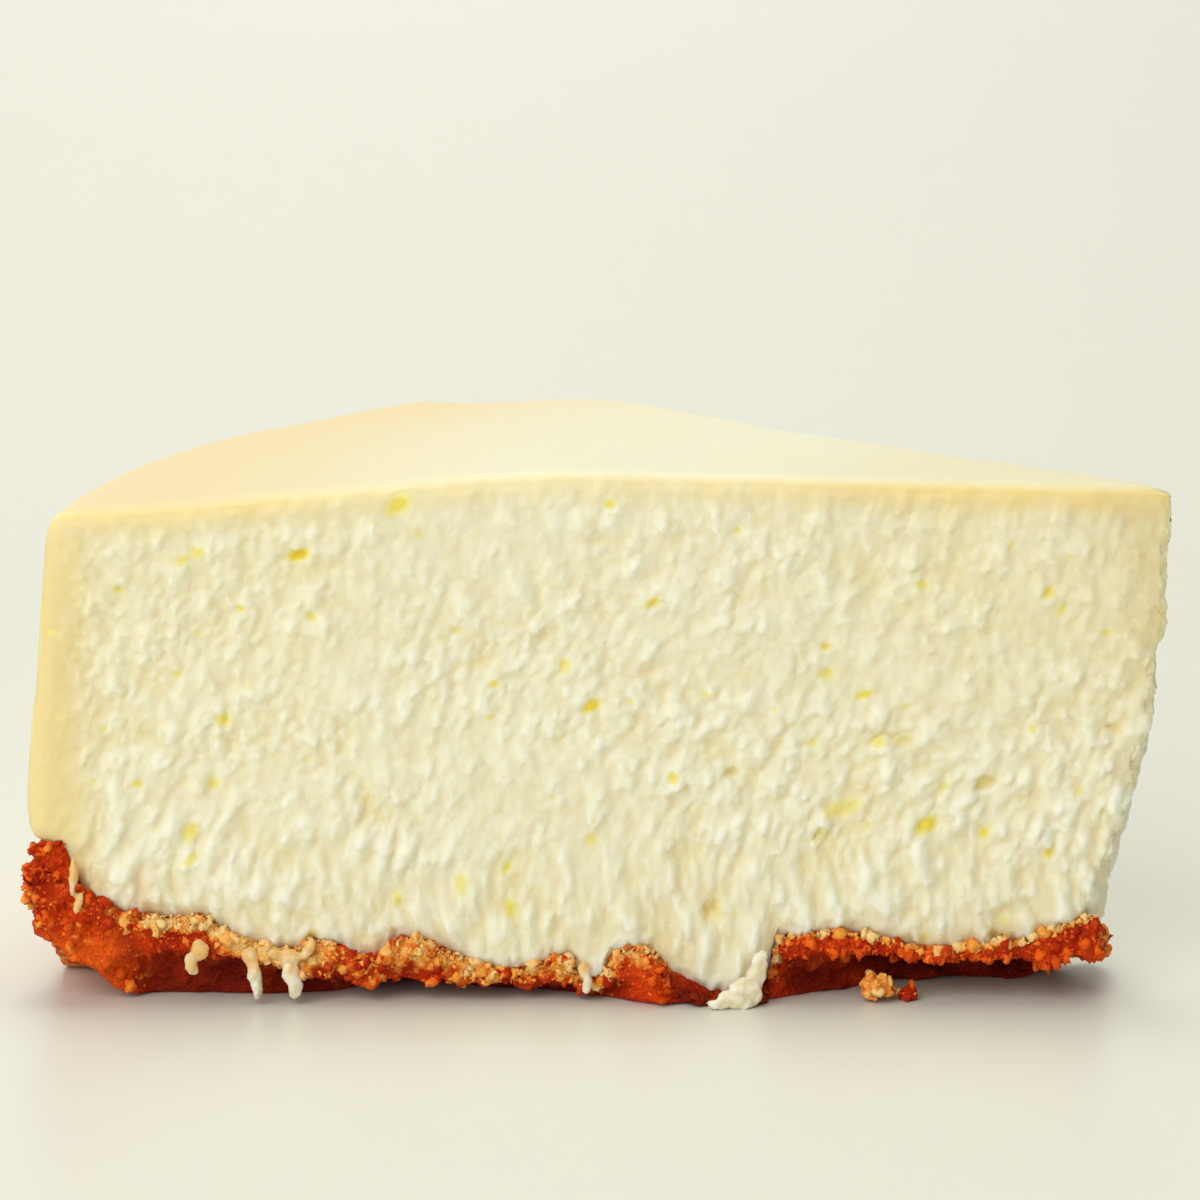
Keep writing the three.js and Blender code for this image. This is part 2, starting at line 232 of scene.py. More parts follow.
def node(kind, feeds=(), **settings):
    """Adds a node with its settings, feeds its sockets by name or number, and gives its first output."""
    made = Wire.tree.nodes.new(kind)
    for key, value in settings.items():
        setattr(made, key, value)
    for key, value in dict(feeds).items():
        feed(made.inputs[key], value)
    return Wire(made.outputs[0])


def is_vector(value):
    if isinstance(value, Wire):
        return value.socket.type == "VECTOR"
    return not isinstance(value, (int, float))


def formula(operation, a, b):
    """The maths node for two numbers or two vectors, or for a vector times a number."""
    if not is_vector(a) and not is_vector(b):
        return maths(operation, a, b)
    if is_vector(a) and is_vector(b):
        return node("ShaderNodeVectorMath", {0: a, 1: b}, operation=operation)
    vector, number = (a, b) if is_vector(a) else (b, a)
    return node("ShaderNodeVectorMath", {0: vector, "Scale": number}, operation="SCALE")


# %% Maths
def maths(operation, *values):
    return node("ShaderNodeMath", enumerate(values), operation=operation)


def largest(a, b):
    return maths("MAXIMUM", a, b)


def distance(a, b):
    """How far off a point is that lies a one way and b square to it."""
    return maths("SQRT", a * a + b * b)


def join(x, y, z):
    return node("ShaderNodeCombineXYZ", enumerate((x, y, z)))


def split(vector):
    parts = node("ShaderNodeSeparateXYZ", {0: vector})
    return [parts[number] for number in range(3)]


# %% [markdown]
# ### Patterns
#
# Ramps fade one thing into another, noise gives clouds, Voronoi cells give lumps and holes, and a
# drawn curve gives a line that the photo shows.

# %% Patterns in nodes
REACH = 115


def ramp(value, low, high, to_low=0.0, to_high=1.0):
    """Runs smoothly from one value to another while the input crosses a band."""
    feeds = enumerate((value, low, high, to_low, to_high))
    return node("ShaderNodeMapRange", feeds, interpolation_type="SMOOTHSTEP")


def fade(value, low, high):
    """Falls smoothly from 1 to 0 while the input crosses a band."""
    return ramp(value, low, high, 1.0, 0.0)


def noise(where, width=None, detail=2.0, roughness=0.5):
    """Cloudy noise from about -1 to 1, with lumps of a width in mm, or one unit wide."""
    where = where / width if width else where
    feeds = {"Vector": where, "Scale": 1.0, "Detail": detail, "Roughness": roughness}
    return (node("ShaderNodeTexNoise", feeds, noise_dimensions="3D") - 0.5) * 3.0


def cells(where, dimensions="3D", smooth=0.0):
    """Voronoi cells about one unit wide: how far off each one's middle is, and its chance numbers."""
    feeds = {"Vector": where, "Scale": 1.0}
    feature = "F1"
    if smooth:
        feeds["Smoothness"] = smooth
        feature = "SMOOTH_F1"
    cell = node("ShaderNodeTexVoronoi", feeds, voronoi_dimensions=dimensions, feature=feature)
    return cell["Distance"], split(cell["Color"])


def profile(value, stations, height):
    """A smooth curve through stations, from 0 to REACH mm one way and up to height the other."""
    curve = node("ShaderNodeFloatCurve", {"Value": maths("DIVIDE", value, REACH)})
    mapping = curve.socket.node.mapping
    points = mapping.curves[0].points
    while len(points) < len(stations):
        points.new(0.5, 0.5)
    for point, (at, result) in zip(points, stations):
        point.location = (at / REACH, result / height)
    mapping.update()
    return curve * height


# %% [markdown]
# ### Trees that work on a mesh
#
# A geometry node tree takes a mesh in and hands a mesh out. In between it moves the points, and
# stores numbers on them by name. Materials read those, so a colour lies where the shape asks for it.

# %% A geometry node tree
def reshape(piece, name, change, **amounts):
    """Builds a tree round change(), which takes a geometry and gives it back changed, and applies it."""
    Wire.tree = bpy.data.node_groups.new(name, "GeometryNodeTree")
    for in_out in ("INPUT", "OUTPUT"):
        Wire.tree.interface.new_socket(name="Geometry", in_out=in_out, socket_type="NodeSocketGeometry")
    changed = change(node("NodeGroupInput"), **amounts)
    feed(Wire.tree.nodes.new("NodeGroupOutput").inputs[0], changed)
    apply_modifier(piece, "NODES", name, node_group=Wire.tree)


def keep_values(geometry, values, domain="POINT"):
    """Stores numbers by name on every point, for a later step or a material to read."""
    for name, value in values.items():
        feeds = {"Geometry": geometry, "Name": name, "Value": value}
        geometry = node("GeometryNodeStoreNamedAttribute", feeds, data_type="FLOAT", domain=domain)
    return geometry


def kept_value(name):
    return node("GeometryNodeInputNamedAttribute", {"Name": name}, data_type="FLOAT")


# %% Moving points
def move(geometry, offset_mm):
    """Moves each point by a vector in millimetres."""
    return node("GeometryNodeSetPosition", {"Geometry": geometry, "Offset": offset_mm * MM})


def keep_above_plate(geometry):
    """Lifts the points that hang below the plate up to it."""
    z = split(node("GeometryNodeInputPosition"))[2]
    return move(geometry, join(0.0, 0.0, largest(z * (-1 / MM), 0.0)))


def roughened(geometry, rough, depth):
    """Pushes the skin out and in by noise, but never below the plate."""
    return keep_above_plate(move(geometry, node("GeometryNodeInputNormal") * (rough * depth)))


# %% Places in the cake
def cake_places():
    """Each point's distance from the cake's middle, share of the angle, height and depths, in mm."""
    local = (node("GeometryNodeInputPosition") - CENTRE) / MM
    x, y, z = split(local)
    rho = distance(x, y)
    angle = maths("ARCTAN2", y, x * -1.0)
    share = maths("DIVIDE", angle, SLICE_ANGLE)
    far = rho * maths("SINE", SLICE_ANGLE - angle)
    return SimpleNamespace(rho=rho, share=share, z=z, near=y, far=far, local=local)


def along_cut(at, width, lane, up=0.0):
    """Coordinates for noise that runs along a cut, with a lane number that keeps uses apart."""
    return join(at.rho / width, lane, up)


# %% [markdown]
# ## Where crust meets curd
#
# On the shown cut the line between the foods wanders, because the knife dragged curd down over the
# crust. Inside the slice it is nearly flat. Both foods need the same line, so one formula fades
# from the cut's own line to the flat one.

# %% The crust line
CRUST_LINE = [
    (0, 8.0), (7, 8.4), (11.5, 7.2), (24, 5.4), (32, 7.0), (39, 6.6), (40.6, 1.4), (44, 0.5), (48, 1.6),
    (50, 2.6), (54.2, 5.4), (58.4, 2.2), (60.5, 4.3), (66.2, 3.0), (77.2, 6.4), (80.3, 4.3), (85.2, 6.2),
    (88.3, 5.2), (97, 8.4), (104, 9.2), (115, 10.0),
]
LINE_FADES_OVER = 7.0
JAG, FLAT_SWAY, FAR_SWAY = 0.65, 0.4, 1.3


def crust_line(at):
    """Height of the line between crust and curd, in mm."""
    jag = noise(along_cut(at, 1.5, 0.0), detail=3.0, roughness=0.7)
    shown = profile(at.rho, CRUST_LINE, 12) + jag * JAG
    flat = noise(at.local, 9) * FLAT_SWAY + BASE / MM
    far = noise(along_cut(at, 6.5, 0.4, 7.0)) * FAR_SWAY + (BASE / MM + 0.5)
    near_share = fade(at.near, 0.0, LINE_FADES_OVER)
    far_share = fade(at.far, 0.0, LINE_FADES_OVER) * (1.0 - near_share)
    return flat + (shown - flat) * near_share + (far - flat) * far_share


# %% [markdown]
# ## The curd block
#
# A cake is a cylinder, so the block starts as one, and two cuts through the cake's middle leave the
# wedge. Level rings are then scaled in or out from that same middle, which shapes the rim and keeps
# the cut faces flat.

# %% A wedge of the round cake
CURD_FOOT = 4.0 * MM
ROUND_SIDES = 288


def round_cake(name, low, high):
    """A whole round of the cake's radius, between two heights."""
    middle = CENTRE + Vector((0, 0, (low + high) / 2))
    bpy.ops.mesh.primitive_cylinder_add(
        vertices=ROUND_SIDES, radius=CAKE_RADIUS, depth=high - low, location=middle
    )
    piece = done(bpy.context.object)
    piece.name = name
    return piece


def cut_slice(piece):
    cut(piece, CENTRE, NEAR_OUT)
    cut(piece, CENTRE, FAR_OUT)


curd = round_cake("cheese_filling", CURD_FOOT, TOP)
cut_slice(curd)
count(curd)

# %% The rim's rings
RIM_RINGS = [
    (4.0, 108.0), (5.2, 108.6), (7.2, 109.6), (9.5, 110.2), (15.2, 110.6), (16.6, 114.2), (20, 114.6),
    (24, 114.3), (28, 113.9), (35, 113.2), (42, 112.7), (48, 112.2), (53.5, 112.1),
]
for height, _ in RIM_RINGS[1:-1]:
    cut(curd, (0, 0, height * MM), Vector((0, 0, 1)), cut_off=False)
for height, radius in RIM_RINGS:
    pick(curd, "VERT", lambda co: abs(co.z - height * MM) < SAME_PLACE)
    scale = radius * MM / CAKE_RADIUS
    bpy.ops.transform.resize(value=(scale, scale, 1), center_override=(CENTRE.x, CENTRE.y, height * MM))
    done(curd)
count(curd)

# %% [markdown]
# ### Shoulder and tip
#
# The baked rim rolls over into the top in a small round, which is a bevel on the top edge of the
# rim alone. The tip is the weakest part of a slice and has crumbled back, more towards the plate.
# Three flat cuts, each leaning a little more, give that worn line.

# %% Shoulder
SHOULDER = 3.4 * MM


def on_ring(height, least, most):
    """Tells which edges lie at a height, between two distances from the cake's middle."""
    def on_it(co):
        return abs(co.z - height) < SAME_PLACE and least < (co - CENTRE).xy.length < most
    return lambda a, b: on_it(a) and on_it(b)


pick(curd, "EDGE", on_ring(TOP, 100 * MM, CAKE_RADIUS))
bpy.ops.mesh.bevel(offset=SHOULDER, segments=7, affect="EDGES")
done(curd)
count(curd)

# %% Worn tip
TIP_CUTS = [((-0.4, 53.5), (0.6, 42)), ((0.7, 44), (2.2, 30)), ((2.2, 30), (6.0, 14))]
for (back_a, z_a), (back_b, z_b) in TIP_CUTS:
    start = CENTRE + TIP_LINE * back_a * MM + Vector((0, 0, z_a * MM))
    along = TIP_LINE * (back_b - back_a) + Vector((0, 0, z_b - z_a))
    outwards = along.cross(Vector((-TIP_LINE.y, TIP_LINE.x, 0)))
    if outwards.dot(TIP_LINE) > 0:
        outwards.negate()
    cut(curd, start, outwards)
count(curd)

# %% [markdown]
# ### A mesh fine enough to tear
#
# The block has few, long faces, and relief needs many small ones. A voxel remesh gives an even skin
# of 1.2 mm squares and softens every edge by about as much, as baking does. Only the torn faces are
# subdivided further, the far cut the least, which keeps the piece under 200,000 triangles.

# %% Remesh, and refine the cuts
CURD_VOXEL = 1.22 * MM
SAME_WAY = 0.7


def even_skin(piece, voxel, rounds=3):
    """Wraps a piece in a new skin of even squares, and relaxes it."""
    apply_modifier(piece, "REMESH", "even_skin", mode="VOXEL", voxel_size=voxel)
    apply_modifier(piece, "SMOOTH", "relax", factor=0.5, iterations=rounds)


def faces_out(face, outwards):
    return face.normal.dot(outwards) > SAME_WAY


def refine(piece, wanted, cuts):
    pick(piece, "FACE", wanted)
    bpy.ops.mesh.subdivide(number_cuts=cuts)
    done(piece)


even_skin(curd, CURD_VOXEL)
for outwards, cuts in ((NEAR_OUT, 3), (-TIP_LINE, 2), (FAR_OUT, 1)):
    refine(curd, lambda face: faces_out(face, outwards), cuts)
count(curd)

# %% [markdown]
# ### Settling the block
#
# The baked top is a shallow dome, low at the rim and highest half way in, and it rises a little
# towards the far cut. The foot follows the crust line. One node tree lifts the points to those
# heights, and keeps how far each is below the top, for the tearing and the colour.

# %% Dome and foot
TOP_LINE = [
    (0, 52.1), (8, 52.4), (18, 52.5), (29, 52.7), (41, 53.2), (51, 53.4), (60, 53.6), (67, 53.4), (75, 52.9),
    (84, 52.0), (93, 51.1), (103, 50.3), (115, 50.0),
]
FAR_RISE = (0.5, 2.9)
FOOT_FADES_OVER = 12
TOP_SWAY = 0.3


def top_height(at):
    """Height of the baked top in mm, with its edge on the shown cut a little chipped."""
    rise = ramp(at.rho, 50, 85, *FAR_RISE) * at.share
    sway = noise(at.local, 34, 1.0) * TOP_SWAY
    chipped = noise(along_cut(at, 2.5, 2.0), detail=3.0) * ramp(at.near, 0.3, 2.0, 0.3, 0.0)
    return profile(at.rho, TOP_LINE, 56) + rise + sway + chipped


def settle(geometry):
    at = cake_places()
    top = top_height(at)
    lift = (top - TOP / MM) * ramp(at.z, 20, TOP / MM)
    foot_share = fade(at.z, BASE / MM, BASE / MM + FOOT_FADES_OVER)
    short = fade(at.near, 0.5, 2.5) * ((BASE - CURD_FOOT) / MM)
    foot = (crust_line(at) + short - BASE / MM) * foot_share
    geometry = keep_values(geometry, {"below_top": top - (at.z + lift + foot)})
    return move(geometry, join(0.0, 0.0, lift + foot))


reshape(curd, "settle", settle)
print("curd top at", round(max(v.co.z for v in curd.data.vertices) / MM, 1), "mm")

# %% [markdown]
# ### Tearing the cuts
#
# Baked curd is a fine foam. Where the knife drags through it, it tears into soft lumps a millimetre or
# two wide, drawn out downwards near the crust. Smooth Voronoi cells give such lumps, and the chance
# number of each says how tall it stands. Each cut has its own number, so the two don't look alike.

# %% Places along the drag marks
MARK_SWAY, MARK_LEAN, MARK_SLOPE = 2.0, 0.24, 0.1
DRAWN_OUT = 0.45


def drag_place(at, side):
    """Coordinates on a cut, in mm: across the drag marks, a number for the cut, and along them."""
    sway = noise(along_cut(at, 24, side, at.z / 18), detail=1.0) * MARK_SWAY
    lean = (at.z - 14.0) * ramp(at.z, 8, 24, 0.0, MARK_LEAN)
    along = at.z - maths("SMOOTH_MIN", at.z, 20.0, 8.0) * DRAWN_OUT - at.rho * MARK_SLOPE
    return join(at.rho + lean + sway, side, along)


def stretched(place, wide, high):
    """Scales a place on a cut, so that a pattern gets that width and height in mm."""
    return place * (1 / wide, 1.0, 1 / high)


# %% Torn lumps
LUMP_SIZES = [((0, 0, 0), 2.6, 3.5, 0.6), ((31, 7, 11), 1.4, 1.8, 0.42), ((17, 3, 29), 0.9, 1.1, 0.28)]
LUMPS_MEAN = 0.6
LUMP_BEND, WAVE_HEIGHT, CLOUD_HEIGHT = 0.35, 0.45, 0.42


def torn_lumps(place, width, length, height):
    """Soft lumps, each as tall as chance makes it, as a height in mm."""
    scaled = stretched(place, width, length)
    bend_x = noise(scaled, detail=3.0) * LUMP_BEND
    bend_z = noise(scaled + (5, 9, 2), detail=3.0) * LUMP_BEND
    across, _, along = split(scaled + join(bend_x, 0.0, bend_z))
    away, chance = cells(join(across, along, 0.0), "2D", smooth=0.3)
    return fade(away, 0.0, 0.75) * ramp(chance[0], 0.15, 0.75, 0.1, 1.0) * height


def curd_relief(place):
    """The broad waves of one cut, and its torn relief, both in mm."""
    waves = noise(stretched(place, 26, 26), detail=1.0) * WAVE_HEIGHT
    relief = noise(stretched(place, 3.4, 5), detail=4.0, roughness=0.6) * CLOUD_HEIGHT
    for apart, width, length, height in LUMP_SIZES:
        relief = relief + torn_lumps(place + apart, width, length, height)
    patch = noise(stretched(place, 15, 13), detail=1.0)
    return waves, (relief - LUMPS_MEAN) * ramp(patch, -0.7, 0.7, 0.65, 1.15)


# %% [markdown]
# ### Pits and bubbles
#
# Baked cream cheese is dotted with small pits, and a few bubbles burst where the knife passed. Wide
# Voronoi cells with a small hole in the middle of each place them and their strength by chance.
# The largest pits of the shown cut are put where the photo has them.

# %% Holes by chance
PIT_CELL, BUBBLE_CELL = (6.6, 5.4), (15, 9)


def curd_pits(place, side):
    """How much of a pit each point is, from 0 to 1."""
    across, _, along = split(stretched(place, *PIT_CELL))
    away, chance = cells(join(across, along, 0.0) + (side, side, 0), "2D")
    away = away + noise(place, 0.8, 1.0) * 0.03
    edge = ramp(chance[1], 0.5, 1.0, 0.11, 0.2)
    return fade(away, 0.02, edge) * ramp(chance[0], 0.3, 1.0)


def curd_bubbles(at, place, side):
    """How much of a bubble each point is, low down towards the tip."""
    across, _, along = split(stretched(place, *BUBBLE_CELL))
    bend = noise(place, 1.5) * 0.06
    away, _ = cells(join(across + bend, along, 0.0) + (side + 3.2, side, 0), "2D")
    bubble = fade(away + bend, 0.02, 0.1)
    return bubble * fade(at.z, 24, 36) * fade(at.rho, 50, 60)


# %% Pits by name
NAMED_PITS = [
    (86.9, 45.4, 1.2, 0.7, 1.0), (77.0, 50.4, 1.3, 1.1, 0.75), (58.1, 30.3, 1.0, 0.7, 0.9),
    (60.6, 34.3, 0.6, 0.7, 0.5), (31.0, 31.4, 0.9, 0.5, 0.8), (24.7, 18.2, 1.3, 0.9, 0.85),
    (33.0, 19.9, 1.9, 0.9, 0.6), (66.5, 13.8, 0.6, 0.6, 0.7), (98.2, 45.0, 0.9, 0.5, 0.6),
    (11.7, 40.0, 0.6, 0.7, 0.6), (98.0, 14.9, 0.7, 0.6, 0.55), (16.8, 46.4, 0.5, 0.5, 0.4),
]


def named_pits(at):
    """The largest pits of the shown cut, each an uneven oval with its own place and strength."""
    bend = noise(at.local, 0.9)
    pits = 0.0
    for rho, z, wide, high, strength in NAMED_PITS:
        across = (at.rho - rho) / wide
        up = (at.z - z) / high + across * 0.5
        away = distance(across, up) + bend * 0.25
        pits = largest(pits, ramp(away, 0.4, 1.4, strength, 0.0))
    return pits


# %% [markdown]
# ### Moving the torn skin
#
# The relief pushes each point straight out of the cut that it lies on, and lumps that stand proud
# sag a little. It is calmer in the smooth skin below the top and at the rim, and rougher low down.
# A point counts as part of a cut when its normal points that way, so the edges fade by themselves.

# %% How rough each place is
SKIN_RADIUS = 112.6
SHOWN_SIDE, FAR_SIDE = 1.0, 6.0
PIT_DEPTH, BUBBLE_DEPTH, TIP_WEAR = 0.3, 0.9, 0.7
CHANCE_PITS, BUBBLE_SHADE_TINT, SAG = 0.8, 0.3, 0.5


def facing(outwards, low, high):
    """From 0 to 1, how much the skin faces a way."""
    feeds = {0: node("GeometryNodeInputNormal"), 1: outwards}
    return ramp(node("ShaderNodeVectorMath", feeds, operation="DOT_PRODUCT")["Value"], low, high)


def roughness_by_place(at, below_top):
    """A factor for the relief, low in the baked skin and high near the foot and the tip."""
    calm = ramp(below_top, 0.3, 4.5, 0.2, 1.0) * ramp(SKIN_RADIUS - at.rho, 0.5, 5.5, 0.2, 1.0)
    to_tip = ramp(at.rho, 30, 50, 0.3, 0.0) * fade(at.z, 20, 36)
    return calm * ramp(at.z, 8, 44, 1.15, 0.8) * (to_tip + 1.0)


# %% Tear both cuts and the tip
def torn_cut(at, side, outwards):
    """One cut's offset in mm, and its pits and its standing relief, which the colours turn into painted shade
    and highlights.
    """
    on_cut = facing(outwards, 0.45, 0.8)
    below_top = kept_value("below_top")
    place = drag_place(at, side)
    waves, relief = curd_relief(place)
    bubble = curd_bubbles(at, place, side)
    stand = (relief + 0.2) * roughness_by_place(at, below_top) - bubble * BUBBLE_DEPTH
    pit = curd_pits(place, side) * ramp(below_top, 1.0, 3.0) * CHANCE_PITS
    if side == SHOWN_SIDE:
        pit = largest(pit, named_pits(at))
    thin = ramp(at.rho, 0.0, 9.0, 0.5, 1.0)
    amount = (waves + stand - pit * PIT_DEPTH) * thin * on_cut
    sag = largest(stand, 0.0) * thin * on_cut * -SAG
    offset = amount * outwards + join(0.0, 0.0, sag)
    # Bubbles take a share of the pits' yellow, painted shade in their hollows.
    return offset, largest(pit, bubble * BUBBLE_SHADE_TINT) * on_cut, stand * on_cut


def tear(geometry):
    at = cake_places()
    near_offset, near_pit, near_stand = torn_cut(at, SHOWN_SIDE, NEAR_OUT)
    far_offset, far_pit, far_stand = torn_cut(at, FAR_SIDE, FAR_OUT)
    worn = noise(at.local, 2.2, 4.0, 0.65) * facing(-TIP_LINE, 0.6, 0.85) * TIP_WEAR
    kept = {"pit": near_pit + far_pit, "stand": near_stand + far_stand + worn}
    return move(keep_values(geometry, kept), near_offset + far_offset + worn * -TIP_LINE)


reshape(curd, "tear", tear)
finished(curd)

# %% [markdown]
# ## The crust tray
#
# Crumb is pressed into the tin as a flat base and up its side as a low wall. That is one disc whose
# top face is inset by the wall's thickness, with the ring that is left extruded upwards. The same two
# cuts then make it a slice, and show its L-shaped section.

# %% Base and wall
WALL_THICK = 4.4 * MM
INNER_CORNER = 3.0 * MM
CRUST_TIP = 6.6 * MM
inner = CAKE_RADIUS - WALL_THICK
crust = round_cake("crumb_crust", 0, BASE)
pick(crust, "FACE", lambda face: face.normal.z > 0.9)
bpy.ops.mesh.inset(thickness=WALL_THICK)
done(crust)
pick(crust, "FACE", lambda face: face.normal.z > 0.9 and len(face.vertices) == 4)
bpy.ops.mesh.extrude_region_move(TRANSFORM_OT_translate={"value": (0, 0, WALL_TOP - BASE)})
done(crust)
pick(crust, "EDGE", on_ring(BASE, inner - 0.2 * MM, inner + 0.2 * MM))
bpy.ops.mesh.bevel(offset=INNER_CORNER, segments=3, affect="EDGES")
done(crust)
cut_slice(crust)
cut(crust, CENTRE + TIP_LINE * CRUST_TIP, -TIP_LINE)
count(crust)

# %% [markdown]
# ### Small faces where the crust shows
#
# The crust gets an even skin as the curd did. Curd covers most of it from above, and it stands on
# its underside, so only the cuts, the outer face of the rim and the wall's top are refined.

# %% Remesh the crust, and refine what shows
CRUST_VOXEL = 1.05 * MM
RIM_BAND, WALL_BAND = 3.2 * MM, 3 * MM


def shows_on_crust(face):
    outside = face.center - CENTRE
    on_rim = outside.xy.length > CAKE_RADIUS - RIM_BAND and face.normal.dot(outside.normalized()) > 0.5
    on_wall_top = face.center.z > WALL_TOP - WALL_BAND
    return faces_out(face, NEAR_OUT) or faces_out(face, FAR_OUT) or on_rim or on_wall_top


even_skin(crust, CRUST_VOXEL)
refine(crust, shows_on_crust, 3)
count(crust)

# %% [markdown]
# ### The broken foot
#
# Crumb crumbles where the knife leaves it. Under the shown cut the foot has fallen away in
# stretches, which leaves a lip with a dark hollow below it. The corner at the rim has broken off, and
# the tip hangs just clear of the plate. Two curves along the cut say how deep and how high it goes.

# %% Curves along the foot
FOOT_BACK = [
    (0, 8.9), (10.6, 8.7), (15.9, 8.5), (21.1, 8.2), (26.4, 7.2), (31.8, 4.5), (37, 1.9), (41.1, -0.3),
    (45.2, -1.1), (51.2, -2.0), (53.2, -1.4), (57.2, 1.5), (61.3, 3.0), (67.4, 4.5), (72.5, 6.4), (77.7, 7.2),
    (82.6, 4.2), (87.5, 2.4), (92.6, 2.4), (100, 2.8), (102.5, 2.4), (105, 0.6), (115, 0.4),
]
HOLLOW_HEIGHT = [
    (0, 4.2), (10, 3.8), (20, 3.9), (30, 4.2), (36, 4.8), (39, 4.0), (54, 4.0), (58, 1.2), (62, 1.4),
    (72, 1.4), (82, 1.6), (88, 2.8), (93, 4.2), (101, 4.8), (105, 4.6), (108, 2.0), (115, 2.0),
]
FURTHEST_OUT = 3.0


def foot_curves(at):
    """How far behind the cut the foot stands, and how high the hollow reaches, in mm."""
    stations = [(rho, back + FURTHEST_OUT) for rho, back in FOOT_BACK]
    depth = profile(at.rho, stations, 16) - FURTHEST_OUT
    uneven = noise(along_cut(at, 6, 3.0, at.z * 0.4))
    high = profile(at.rho, HOLLOW_HEIGHT, 12) + uneven * 0.5
    return depth * (uneven * 0.3 + 1.0), high


# %% Lifts and the ragged lip
CORNER_LIFT = [
    (0, 0), (101, 0), (105.5, 0.7), (106.9, 1.7), (107.9, 3.0), (110.4, 4.3), (111.8, 5.8), (115, 7.2)
]
TIP_LIFT = 1.6
LIP_RISE, LIP_OUT, LIP_TEETH = 1.5, 1.0, 0.8


def crust_lifts(at, boundary):
    """How far the crust line raises the top, and the broken corner and tip raise the foot, in mm."""
    follow = ramp(at.z, 0, BASE / MM) * fade(at.z, BASE / MM, 15)
    corner = profile(at.rho, CORNER_LIFT, 8) * fade(at.near, 3, 14)
    tip = ramp(at.rho, 9, 14, TIP_LIFT, 0.0)
    return (boundary - BASE / MM) * follow, (corner + tip) * fade(at.z, 0, 9)


def lip_teeth(at, lipped):
    """How far the lip rises over the curd's edge, in uneven teeth, in mm."""
    teeth = noise(along_cut(at, 1.2, 5.0), detail=3.0, roughness=0.7)
    return lipped * ramp(at.z, 2.5, 5.0) * (teeth * LIP_TEETH + LIP_RISE)


# %% [markdown]
# ### What the crust keeps for its colours
#
# Dry crumb on the broken edge is golden, and a painted highlight where the lip catches the light adds
# to that gold. Crumb in the hollows gets painted shade, and the thin corner at the rim a painted glow
# of light shining through it. Those places are known while the shape is made, so they are kept as numbers.

# %% Shown and golden places, painted glow and painted shade
RIM_RADIUS = CAKE_RADIUS / MM
FRINGE_ELSEWHERE = 0.55


def shown_share(at, near):
    """How far crumb may stand off each place: not where curd or the plate covers it."""
    far = fade(at.far, 0.3, 2.2)
    rim = ramp(at.rho, RIM_RADIUS - 2.4, RIM_RADIUS - 1.2) * 0.8
    tip_part = fade(at.rho, 9, 12)
    return largest(largest(near, far), largest(rim, tip_part)) * ramp(at.z, 0.0, 1.4, 0.15, 1.0)


def golden_and_highlight_share(at, near, under, from_line, patch):
    """A thin golden edge towards the tip, and golden patches of the whole lip towards the rim, partly crumb
    colour and partly a painted highlight where the lip catches the light.
    """
    edge = ramp(from_line, 0.4, 2.2, 1.6, -0.25)
    body = (1.0 - under) * ramp(at.z, 1.5, 4.0) * ramp(patch, -0.4, 0.1, 0.4, 1.1)
    body = body * ramp(at.rho, 82, 88, 1.0, 1.3) * ramp(at.rho, 104, 109, 1.0, -0.3)
    body = body * (1.0 - ramp(from_line, 2.1, 3.6) * ramp(at.rho, 91, 97))
    low_lip = ramp(at.rho, 40, 60)
    fringe = edge * (1.0 - low_lip) + body * low_lip
    return fringe * near + ramp(at.near, 1.0, 6.0, 0.0, FRINGE_ELSEWHERE)


def hollow_shade_share(at, near, under, fades, depth):
    """How much painted shade each place gets, deep in a hollow or in the crevice behind the curd tongue."""
    hollow = under * fades * ramp(depth, 0.0, 2.5) * fade(at.rho, 101, 105)
    crevice = ramp(at.rho, 39, 41) * fade(at.rho, 49, 51) * near
    return largest(hollow, crevice)


# A painted glow, standing in for light that shines through the thin corner at the rim.
def glow_share(at, near, height, patch):
    glow = ramp(at.rho, 103, 106.5) * fade(height, 5, 9) * near
    return glow * ramp(patch, -0.4, 0.5, 0.75, 1.0)


# %% Shape the crust
def shape_crust(geometry):
    at = cake_places()
    boundary = crust_line(at)
    line, lift = crust_lifts(at, boundary)
    depth, high = foot_curves(at)
    near = fade(at.near, 0.3, 2.2)
    lipped = near * ramp(boundary, 1.0, 4.0)
    ragged = lip_teeth(at, lipped)
    height = at.z + line + lift + ragged
    under = fade(height, high - 0.9, high + 0.4)
    fades = fade(at.near, 0.0, largest(depth * 2.4 + 0.5, 4.0))
    back = depth * under * fades - lipped * ramp(height, 1.5, 4.5) * LIP_OUT
    patch = noise(along_cut(at, 5, 9.0, at.z / 8))
    geometry = keep_values(geometry, {
        "shown": shown_share(at, near),
        "hollow": hollow_shade_share(at, near, under, fades, depth),
        "fringe": golden_and_highlight_share(at, near, under, boundary + LIP_RISE - height, patch),
        "glow": glow_share(at, near, height, patch),
    })
    return move(geometry, join(0.0, back, line + lift + ragged))


reshape(crust, "crust_shape", shape_crust)
count(crust)

# %% [markdown]
# ### Crumb on the skin
#
# Pressed crumb is a crowd of hard lumps from a grain of sand to a lentil. Voronoi cells of three
# sizes push the skin out along its normal where it shows, and hardly at the underside, on which the
# slice stands.

# %% Crumb relief
CRUMB_SIZES = ((3.2, 1.15), (1.6, 0.75), (0.8, 0.42))
CRUMB_MEAN = 0.95


